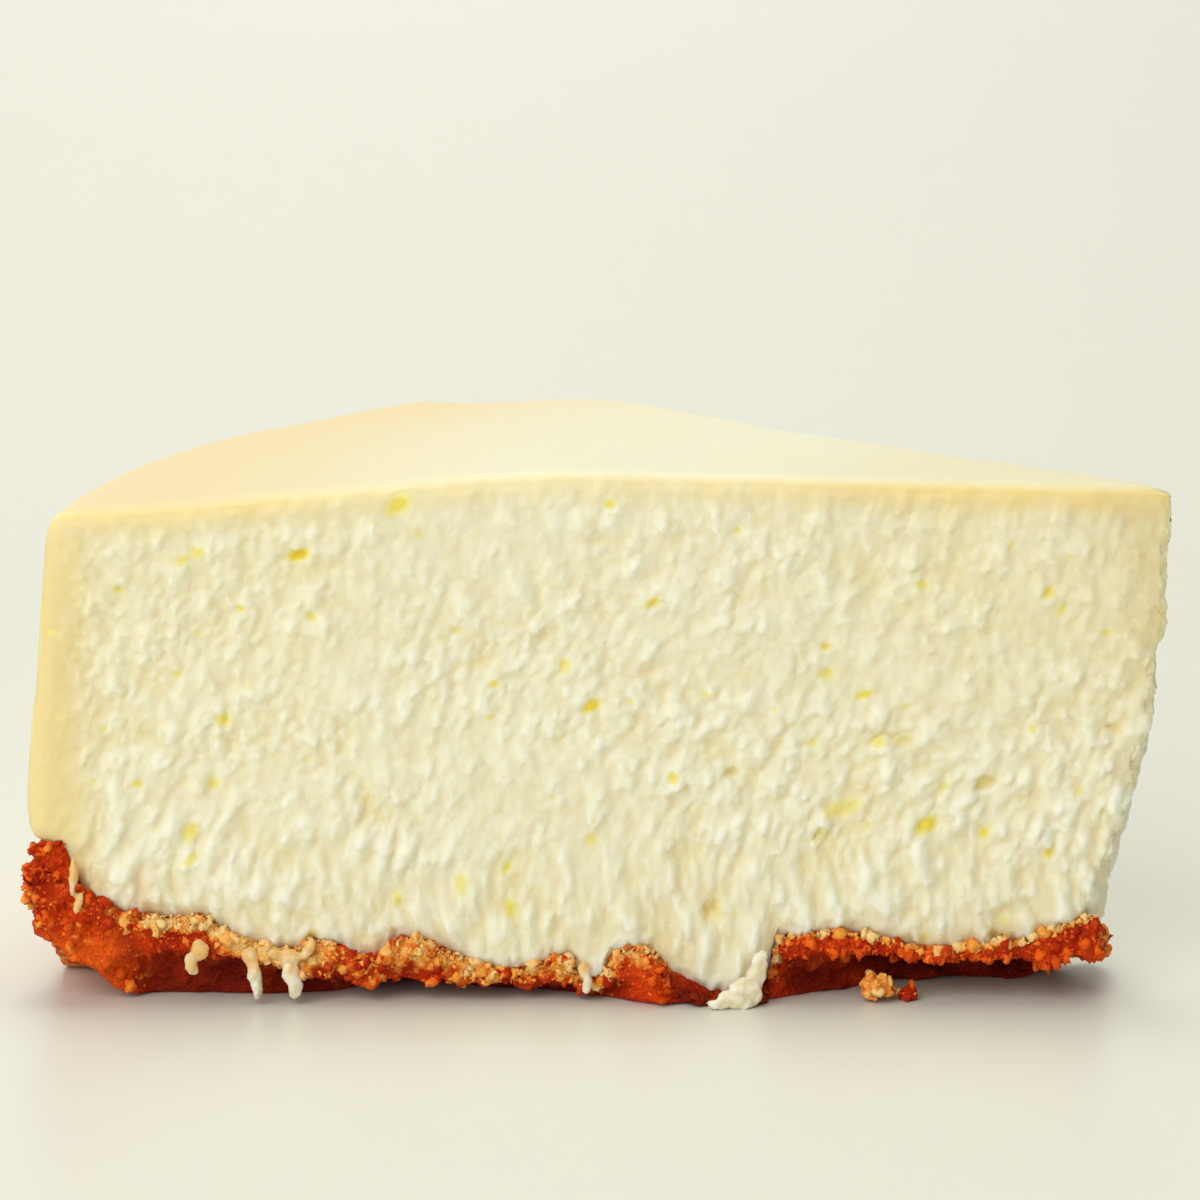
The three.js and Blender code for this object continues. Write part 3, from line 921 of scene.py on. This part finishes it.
def roughen_crust(geometry):
    local = cake_places().local
    bend = noise(local, 1.6)
    place = local + join(bend, bend * -0.6, bend * 0.8)
    lumps = 0.0
    for width, stands in CRUMB_SIZES:
        away, chance = cells(place / width)
        lumps = lumps + fade(away, 0.0, 0.7) * (chance[0] + 0.3) * stands
    return roughened(keep_values(geometry, {"lump": lumps}), lumps - CRUMB_MEAN, kept_value("shown"))


reshape(crust, "crumb", roughen_crust)
finished(crust)

# %% [markdown]
# ## The stray crumb
#
# One crumb has dropped in front of the cut, with a smaller one beside it. A crumb is a clump of
# bits, so balls of mixed sizes are packed at random into its outline, melted into one skin by a voxel
# remesh, and roughened by noise. It gets its share of the finer crumbs below.

# %% Balls melted into one
def at_cut(rho, depth, z):
    """A place on or near the shown cut, from millimetres."""
    return CENTRE + Vector((-rho, depth, z)) * MM


def melted(pieces, name, voxel):
    """Joins pieces and melts them into one skin."""
    only(pieces[0])
    for piece in pieces:
        piece.select_set(True)
    bpy.ops.object.join()
    whole = done(pieces[0])
    whole.name = name
    even_skin(whole, voxel, 2)
    return whole


def clump_balls(middle, size, how_many):
    """Balls at random inside a squashed ball, the outermost on its surface."""
    balls = []
    for _ in range(how_many):
        way = Vector([random.uniform(-1, 1) for _ in range(3)]).normalized()
        out = random.uniform(0.3, 1.0)
        radius = random.uniform(0.4, 0.7)
        reach = [max(side / 2 - radius, 0.1) for side in size]
        place = Vector((way.x * reach[0], way.y * reach[1], way.z * reach[2])) * out * MM
        bpy.ops.mesh.primitive_ico_sphere_add(subdivisions=2, radius=radius * MM, location=middle + place)
        balls.append(bpy.context.object)
    return balls


# %% Stray crumb
STRAY_CLUMPS = [((29.3, 0.2), (4.6, 3.0, 3.2), 40), ((26.3, 0.8), (2.6, 2.0, 1.5), 14)]
STRAY_VOXEL = 0.16 * MM
STRAY_ROUGH = 0.3


def roughen_stray(geometry):
    at = cake_places()
    rough = noise(at.local, 0.6, 3.0)
    kept = {"fringe": ramp(at.rho, 26.5, 28.5, 0.3, 1.25), "shown": 1.0, "lump": rough + 1.2}
    return roughened(keep_values(geometry, kept), rough, STRAY_ROUGH)


stray_balls = []
for (rho, depth), size, how_many in STRAY_CLUMPS:
    stray_balls += clump_balls(at_cut(rho, depth, size[2] / 2), size, how_many)
stray = melted(stray_balls, "stray_crumb", STRAY_VOXEL)
reshape(stray, "stray", roughen_stray)
count(stray)

# %% [markdown]
# ## Loose crumbs
#
# Thousands of crumbs and grains cling to the cut crust and to its wall, and give it its ragged edge.
# A small lump is modelled for the crumbs and a simpler one for the grains. Both have few faces,
# because they are repeated so often.

# %% Two lumps
def small_lump():
    """A rounded cube of 24 faces, 1 mm wide, that only serves as a pattern."""
    bpy.ops.mesh.primitive_cube_add(size=1.0 * MM)
    lump = bpy.context.object
    pick(lump)
    bpy.ops.mesh.subdivide(number_cuts=1)
    bpy.ops.transform.tosphere(value=0.7)
    return done(lump)


def small_grain():
    """A grain of 20 faces, 1 mm wide, a little flat, that only serves as a pattern."""
    bpy.ops.mesh.primitive_ico_sphere_add(subdivisions=1, radius=0.5 * MM)
    grain = bpy.context.object
    grain.scale = (1.0, 0.8, 0.65)
    return done(grain)


# %% [markdown]
# ### The scatter
#
# Geometry Nodes scatter the patterns over a copy of the crust and of the stray crumb, each lump
# turned and sized by chance and sunk a quarter of its size into the skin. Most land near the crust
# line, and none in the hollows. Noise then dents each lump in its own way. The stray crumb is
# shaded last, because the scatter reads which way its faces point.

# %% Where crumbs lie
def crumb_density(at):
    """From 0 to 1, highest along the crust line."""
    shown = largest(kept_value("shown") - 0.1, 0.0)
    boundary = crust_line(at)
    edge = ramp(maths("ABSOLUTE", at.z - boundary), 0.5, 2.2, 1.0, 0.35)
    outside = largest(1.0 - kept_value("hollow"), 0.0)
    return shown * edge * ramp(boundary, 0.4, 2.0) * outside


def chance_value(low, high, seed):
    """A random number or vector between two others, new for each lump."""
    kind, first, output = ("FLOAT_VECTOR", 0, 0) if is_vector(low) else ("FLOAT", 2, 1)
    feeds = {first: low, first + 1: high, "Seed": seed}
    return node("FunctionNodeRandomValue", feeds, data_type=kind)[output]


# %% The scatter's tree
FULL_TURN = (6.28, 6.28, 6.28)
SUNK_SHARE = -0.25
DENT_WIDTH = 0.5
DENT_SHIFTS = ((0, 0, 0), (9, 4, 1), (2, 8, 5))


def lumps_on_points(points, pattern, least, most, seed):
    """Puts the pattern on the points, each copy sized, turned and toned by chance."""
    size = maths("POWER", chance_value(0.0, 1.0, seed + 1), 2.0) * (most - least) + least
    lumps = node("GeometryNodeInstanceOnPoints", {
        "Points": move(points, points["Normal"] * (size * SUNK_SHARE)),
        "Instance": node("GeometryNodeObjectInfo", {"Object": pattern})["Geometry"],
        "Rotation": chance_value((0.0, 0.0, 0.0), FULL_TURN, seed + 3),
        "Scale": chance_value((0.6, 0.6, 0.6), (1.4, 1.4, 1.4), seed + 2) * size,
    })
    return keep_values(lumps, {"tone": chance_value(0.0, 1.0, seed + 4)}, "INSTANCE")


def scatter(geometry, pattern, per_mm2, least, most, seed, dent):
    """Replaces the crust's skin by copies of the pattern, and dents each of them."""
    density = crumb_density(cake_places()) * (per_mm2 / MM / MM)
    feeds = {"Mesh": geometry, "Density": density, "Seed": seed}
    points = node("GeometryNodeDistributePointsOnFaces", feeds, distribute_method="RANDOM")
    lumps = lumps_on_points(points, pattern, least, most, seed)
    real = node("GeometryNodeRealizeInstances", {0: lumps})
    close = cake_places().local / DENT_WIDTH
    dents = join(*(noise(close + shift, detail=1.0) * dent for shift in DENT_SHIFTS))
    return keep_above_plate(move(real, dents))


# %% Crumbs and grains
def scattered(pattern, name, **amounts):
    """Puts the lumps of a scatter where the crust and the stray crumb have their skin."""
    only(crust)
    stray.select_set(True)
    bpy.ops.object.duplicate()
    bpy.ops.object.join()
    base = bpy.context.object
    base.name = name
    reshape(base, "scatter", scatter, pattern=pattern, **amounts)
    bpy.data.objects.remove(pattern)
    finished(base)
    return base


crumbs = scattered(small_lump(), "crust_crumbs", per_mm2=1.1, least=0.45, most=1.05, seed=5, dent=0.42)
grains = scattered(small_grain(), "crust_grains", per_mm2=6.0, least=0.3, most=0.75, seed=25, dent=0.2)
finished(stray)

# %% [markdown]
# ### Smears and drips
#
# The knife left curd on the crust: a coat on the wall, a few drips over the broken edge, and a
# broad smear that reaches the plate. Each is made of balls, squashed and leaned, and melted into
# one skin as the stray crumb was.

# %% Smears
SMEARS = [
    (98.1, -0.9, 4.1, 1.2, 2.5, -20), (97.2, -0.7, 5.6, 1.8, 2.2, -25), (91.5, -0.9, 1.9, 1.15, 2.9, 0),
    (91.8, -0.9, 3.4, 1.4, 2.6, 6), (92.2, -0.6, 5.0, 2.0, 2.0, 10), (87.7, -0.9, 1.8, 1.5, 2.6, 10),
    (88.1, -0.9, 3.3, 1.8, 2.4, 6), (88.3, -0.6, 4.8, 2.4, 1.8, 0), (86.3, -0.8, 5.8, 1.2, 2.6, 25),
    (89.8, -0.7, 5.2, 1.4, 1.2, 20), (58.5, -0.9, 2.2, 0.9, 2.2, 8), (58.8, -0.8, 3.6, 1.3, 1.8, 8),
    (41.6, -1.3, 3.2, 2.0, 5.4, 16), (42.6, -2.0, 1.6, 3.6, 3.0, 35), (43.8, -2.4, 0.9, 3.6, 1.8, 20),
    (45.4, -2.6, 0.5, 2.6, 1.0, 8), (109.7, -0.75, 13.0, 0.9, 4.2, 4), (109.2, -0.75, 10.4, 0.9, 2.6, 14),
]
SMEAR_THICK = 1.1
SMEAR_VOXEL = 0.22 * MM
SMEAR_ROUGH = 0.24


def roughen_smears(geometry):
    rough = noise(cake_places().local, 0.9, 3.0)
    return roughened(keep_values(geometry, {"stand": rough * 0.6}), rough, SMEAR_ROUGH)


blobs = []
for rho, depth, z, width, height, lean in SMEARS:
    bpy.ops.mesh.primitive_uv_sphere_add(
        segments=16, ring_count=10, radius=0.5 * MM, location=at_cut(rho, depth, z)
    )
    blob = bpy.context.object
    blob.scale = (width, SMEAR_THICK, height)
    blob.rotation_euler = (0, math.radians(lean), 0)
    blobs.append(done(blob))
smears = melted(blobs, "curd_smears", SMEAR_VOXEL)
reshape(smears, "smear", roughen_smears)
finished(smears)

# %% [markdown]
# ## Colours and finishes
#
# A picture wrapped round the slice would smear on the torn parts. Noise in Object coordinates runs
# through the food like its own grain instead, and the numbers kept on the points say where pits,
# edges and hollows are. A colour is built in layers, each with a share from 0 to 1 of what shows.

# %% Material helpers
def new_material(name):
    """A material with an empty Principled shader. From here on, new nodes go into its tree."""
    material = bpy.data.materials.new(name)
    material.use_nodes = True
    Wire.tree = material.node_tree
    return material, Wire.tree.nodes["Principled BSDF"]


def attribute(name):
    return node("ShaderNodeAttribute", attribute_name=name)["Fac"]


def layered(colour, *layers):
    """Lays each layer's colour over the ones before it, by its share."""
    for share, over in layers:
        below, above = (c if isinstance(c, Wire) else (*c, 1.0) for c in (colour, over))
        colour = node("ShaderNodeMix", {0: share, 6: below, 7: above}, data_type="RGBA")[2]
    return colour


def object_place_mm():
    return (node("ShaderNodeTexCoord")["Object"] - CENTRE) / MM


# %% Dressing a piece
def bump(shader, height, depth):
    """Fine relief in the shading alone, from a height of about -1 to 1 and its depth in mm."""
    feed(shader.inputs["Normal"], node("ShaderNodeBump", {"Distance": depth * MM, "Height": height}))


def finish(shader, colour, **sockets):
    """Gives the shader its colour, and sets its other sockets, with _ for each space in a name."""
    feed(shader.inputs["Base Color"], colour)
    for name, value in sockets.items():
        shader.inputs[name.replace("_", " ")].default_value = value


def wear(piece, material):
    piece.data.materials.clear()
    piece.data.materials.append(material)
    print(piece.name, "wears", material.name)


# %% [markdown]
# ### Curd finish
#
# Inside, curd is ivory with paler and deeper clouds. Hollows between the lumps are painted yellower, as
# painted shade for the light that bounces about in them, lumps that stand out are painted nearly white
# as a painted highlight, and pits are painted the strongest yellow, as painted shade. Towards the baked
# top and the rim the curd turns the colour of custard, and towards the tip it is darkened by painted shade.
# Light enters curd and comes out a little further on, so a share of it is scattered below the skin.

# %% Curd inside
PALE_CLOUD, DEEP_CLOUD = (0.93, 0.90, 0.70), (0.87, 0.81, 0.57)
# The hollow colours are painted shade, and the proud colour is a painted highlight on the lumps.
PAINTED_SHADE_CURD, PAINTED_DEEP_SHADE, PAINTED_HIGHLIGHT_CURD = (0.88, 0.76, 0.42), (0.92, 0.70, 0.22), (0.97, 0.95, 0.76)
# The pit colours are painted shade: the yellow of light scattered in each pit.
PAINTED_PIT_SHADE_EDGE, PAINTED_PIT_SHADE_MIDDLE = (0.90, 0.82, 0.33), (0.90, 0.72, 0.05)


def torn_colour(cloud):
    """Clouds, with the torn relief shown by painted shade in the hollows and painted highlights on the lumps.
    """
    stand = attribute("stand")
    return layered(
        DEEP_CLOUD,
        (ramp(cloud, -0.8, 0.8), PALE_CLOUD),
        (ramp(stand, -0.6, 0.0, 0.7, 0.0), PAINTED_SHADE_CURD),
        (ramp(stand, -1.3, -0.7, 0.9, 0.0), PAINTED_DEEP_SHADE),
        (ramp(stand, 0.0, 0.5, 0.0, 0.95), PAINTED_HIGHLIGHT_CURD),
    )


# %% Curd near the baked skin, the tip and the crust
# The colours for the cut and the top at the tip are painted shade that darkens the slice towards the tip.
BAKED_BAND, PAINTED_SHADE_TO_TIP, PAINTED_TIP_SHADE = (0.86, 0.70, 0.30), (0.86, 0.72, 0.36), (0.74, 0.62, 0.30)
NEAR_RIM, CRUST_STAIN = (0.84, 0.72, 0.36), (0.72, 0.38, 0.12)
TOP_AT_TIP, TOP_MIDDLE, TOP_AT_RIM = (0.79, 0.73, 0.48), (0.81, 0.79, 0.57), (0.83, 0.67, 0.37)


def baked_layers(place, below, rho, z, cloud):
    """The layers that turn the curd darker towards the top, the rim and the crust, and the painted shade that
    darkens it towards the tip.
    """
    uneven = noise(place, 5, 1.0) * 0.8
    band = fade(below + uneven, 0.6, 4.2)
    band = band * ramp(rho, 25, 45, 1.0, 0.5) * ramp(rho, 75, 95, 1.0, 1.7)
    band = largest(band, ramp(rho + uneven, 105, 111.5, 0.0, 0.8))
    to_tip = fade(rho, 15, 50) * ramp(z, 20, 45) * 0.25
    at_tip = ramp(rho, 1, 12, 0.8, 0.0) * ramp(z, 24, 40) * ramp(cloud, -0.9, 0.5, 1.0, 0.4)
    to_rim = ramp(rho, 65, 95, 0.0, 0.15) * ramp(z, 20, 40)
    stain = ramp(rho, 99, 105) * fade(z, 9, 18) * ramp(cloud, -0.6, 0.3, 0.6, 0.0)
    return (band, BAKED_BAND), (to_tip, PAINTED_SHADE_TO_TIP), (at_tip, PAINTED_TIP_SHADE), (to_rim, NEAR_RIM), (stain, CRUST_STAIN)


# %% Curd material
material, shader = new_material("baked_curd")
place = object_place_mm()
x, y, z = split(place)
rho = distance(x, y)
below, pit = attribute("below_top"), attribute("pit")
cloud = noise(place * (1 / 2.6, 1 / 2.6, 1 / 4.5), detail=3.0, roughness=0.6)
top_colour = layered(TOP_AT_TIP, (ramp(rho, 20, 50), TOP_MIDDLE), (ramp(rho, 55, 105), TOP_AT_RIM))
colour = layered(
    torn_colour(cloud),
    *baked_layers(place, below, rho, z, cloud),
    (fade(below, 0.05, 0.8), top_colour),
    (ramp(pit, 0.0, 0.5), PAINTED_PIT_SHADE_EDGE),
    (ramp(pit, 0.5, 0.95), PAINTED_PIT_SHADE_MIDDLE),
)
bump(shader, noise(place, 0.9, 1.0) * ramp(below, 0.5, 4.0), 0.05)
finish(
    shader, colour, Roughness=0.5, Specular_IOR_Level=0.3,
    Subsurface_Weight=0.7, Subsurface_Radius=(1.0, 0.8, 0.4), Subsurface_Scale=2.0 * MM,
)
wear(curd, material)

# %% [markdown]
# ### Crust finish
#
# Biscuit crumb soaked in butter bakes to a deep red brown, and the dry bits that stick out of it stay
# golden. Wide noise mottles the brown. Fine noise, raised where the golden number is high, picks out
# the speckles, so they crowd along the broken edge; that gold is partly a painted highlight. The hollows
# are darkened with painted shade, and the corner at the rim gets a painted glow. Bump adds grain that
# is too fine to model.

# %% Crust material
SOAKED_CRUMB, TOASTED_CRUMB, PROUD_CRUMB = (0.36, 0.016, 0.002), (0.74, 0.060, 0.004), (0.90, 0.17, 0.01)
AMBER_SPECK, GOLD_SPECK = (0.95, 0.36, 0.05), (0.97, 0.66, 0.25)
# The lit corner colour is a painted glow, and the dark hollow colour is painted shade.
LIT_CORNER, PAINTED_HOLLOW_SHADE = (1.0, 0.15, 0.01), (0.16, 0.008, 0.003)
material, shader = new_material("toasted_crumb")
place = object_place_mm()
wide = noise(place, 4.5, 3.0)
fine = noise(place, 1.1, 3.0)
speckle = fine + attribute("fringe")
colour = layered(
    SOAKED_CRUMB,
    (ramp(wide, -0.8, 0.8), TOASTED_CRUMB),
    (ramp(attribute("lump"), 0.8, 1.9, 0.0, 0.7), PROUD_CRUMB),
    (ramp(speckle, 0.3, 1.1, 0.0, 0.95), AMBER_SPECK),
    (ramp(speckle, 0.9, 1.6, 0.0, 0.9), GOLD_SPECK),
    (attribute("glow") * ramp(fine, -0.8, 0.6, 0.5, 0.9), LIT_CORNER),
    (attribute("hollow") * ramp(wide, -0.6, 0.8, 0.95, 0.6), PAINTED_HOLLOW_SHADE),
)
away, _ = cells(place / 0.5)
bump(shader, noise(place, 0.4) - away, 0.14)
finish(shader, colour, Roughness=0.5, Specular_IOR_Level=0.08)
wear(crust, material)

# %% [markdown]
# ### Crumb finish
#
# Loose crumbs are the same biscuit, but each was toasted in its own way. Every crumb kept one number
# by chance, its tone, and the colour runs with it from red brown over amber to pale gold. Where the
# crust under it is golden, the crumb leans that way too, and where the crust has its painted glow or
# painted shade, the crumb gets painted glow or painted shade as well.

# %% Crumb material
RED_BROWN, RUST, AMBER = (0.46, 0.021, 0.002), (0.92, 0.13, 0.008), (1.0, 0.41, 0.06)
# The lit crumb colour is a painted glow, and the dark crumb colour is painted shade.
PALE_GOLD, LIT_CRUMB, PAINTED_CRUMB_SHADE = (0.98, 0.68, 0.27), (1.0, 0.18, 0.012), (0.13, 0.008, 0.003)
material, shader = new_material("loose_crumb")
fine = noise(object_place_mm(), 0.6)
tone = attribute("tone") + fine * 0.25
golden = tone + attribute("fringe") * 0.8
colour = layered(
    RED_BROWN,
    (ramp(tone, 0.0, 0.7), RUST),
    (ramp(golden, 0.68, 1.15), AMBER),
    (ramp(golden, 1.1, 1.65), PALE_GOLD),
    (attribute("glow") * 0.6, LIT_CRUMB),
    (attribute("hollow") * 0.8, PAINTED_CRUMB_SHADE),
)
bump(shader, fine, 0.08)
finish(shader, colour, Roughness=0.5, Specular_IOR_Level=0.1)
for piece in (crumbs, grains, stray):
    wear(piece, material)

# %% [markdown]
# ### Smear finish
#
# A smear is curd in a thin coat. Like the curd, it is painted pale on its lumps as a painted highlight and
# a little deeper between them as painted shade, and where it lies over golden crumb it has picked up
# butter and turned golden itself.

# %% Smear material
# The first two smear colours are painted shade between the lumps and a painted highlight on them.
SMEAR_PAINTED_SHADE, SMEAR_PAINTED_HIGHLIGHT, BUTTERY_SMEAR = (0.82, 0.72, 0.45), (0.93, 0.89, 0.72), (0.88, 0.50, 0.14)
material, shader = new_material("smeared_curd")
place = object_place_mm()
x, _, z = split(place)
buttery = ramp(z, 2.6, 4.2) * ramp(noise(place, 1.6), -0.9, 0.0) * ramp(x, -56, -50, 0.9, 0.0)
colour = layered(
    SMEAR_PAINTED_SHADE,
    (ramp(attribute("stand"), -0.3, 0.3), SMEAR_PAINTED_HIGHLIGHT),
    (buttery, BUTTERY_SMEAR),
)
finish(
    shader, colour, Roughness=0.4,
    Subsurface_Weight=0.5, Subsurface_Radius=(1.0, 0.75, 0.35), Subsurface_Scale=1.2 * MM,
)
wear(smears, material)

# %% [markdown]
# ## Hand over to the frame
#
# The slice has no moving parts, so every piece rides on the one body, root. The two large pieces
# stand for the CAD solids, which stay hidden and are only used for collisions.

# %% Hand over
for piece in (curd, smears):
    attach(piece, "root")
for piece in (crust, crumbs, grains, stray):
    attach(piece, "root")
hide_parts("filling")
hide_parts("crust")
print("pieces handed over: 6")

# %% [markdown]
# ## The floor
#
# The photo has a pale surface that runs into a pale wall. A plane whose far edge is extruded upwards
# and whose fold is bevelled wide does that as a paper sweep does: no horizon line shows.

# %% Floor
FLOOR_SIZE, WALL_HEIGHT, FOLD = 3, 2, 0.4
PALE_PAPER = (0.77, 0.77, 0.69, 1)


def at_back(a, b):
    return min(a.y, b.y) > 0.5


bpy.ops.mesh.primitive_plane_add(size=FLOOR_SIZE, location=(0, -0.9, 0))
floor = done(bpy.context.object)
floor.name = "pale_floor"
pick(floor, "EDGE", at_back)
bpy.ops.mesh.extrude_region_move(TRANSFORM_OT_translate={"value": (0, 0, WALL_HEIGHT)})
done(floor)
pick(floor, "EDGE", lambda a, b: at_back(a, b) and max(a.z, b.z) < 0.01)
bpy.ops.mesh.bevel(offset=FOLD, segments=16, affect="EDGES")
done(floor)
finished(floor)
material, shader = new_material("pale_floor")
finish(shader, PALE_PAPER, Roughness=0.35)
wear(floor, material)

# %% [markdown]
# ## The light
#
# The slice is lit softly from above and from the camera's left, as by a window and a bright room.
# A small box overhead draws the shoulder and the lumps, a wide one in front fills the cut, and a
# third is aimed at the wall. A little light from all round keeps the hollows from going black.

# %% Light
SLICE_MIDDLE = (0, 0, 0.02)
ROUND_LIGHT, ROUND_STRENGTH = (1.0, 1.0, 0.97, 1), 0.28
scene = bpy.context.scene
world = bpy.data.worlds.new("studio")
scene.world = world
world.use_nodes = True
background = world.node_tree.nodes["Background"].inputs
background["Color"].default_value = ROUND_LIGHT
background["Strength"].default_value = ROUND_STRENGTH


def soft_light(name, place, aim, size, watts, colour):
    """A square soft box that faces a point."""
    bpy.ops.object.light_add(type="AREA", location=place)
    light = bpy.context.object
    light.name = name
    light.data.shape = "SQUARE"
    light.data.size = size
    light.data.energy = watts
    light.data.color = colour
    light.rotation_euler = (Vector(aim) - Vector(place)).to_track_quat("-Z", "Y").to_euler()


soft_light("overhead", (-0.12, 0.16, 0.85), SLICE_MIDDLE, 0.4, 1.42, (1.0, 0.99, 0.97))
soft_light("room", (-0.45, -0.80, 0.62), SLICE_MIDDLE, 1.0, 8.3, (1.0, 0.985, 0.95))
soft_light("backdrop", (0.0, 0.2, 1.4), (0, 1.2, 0.3), 0.8, 6.2, (1.0, 1.0, 1.0))
scene.view_settings.view_transform = "Standard"
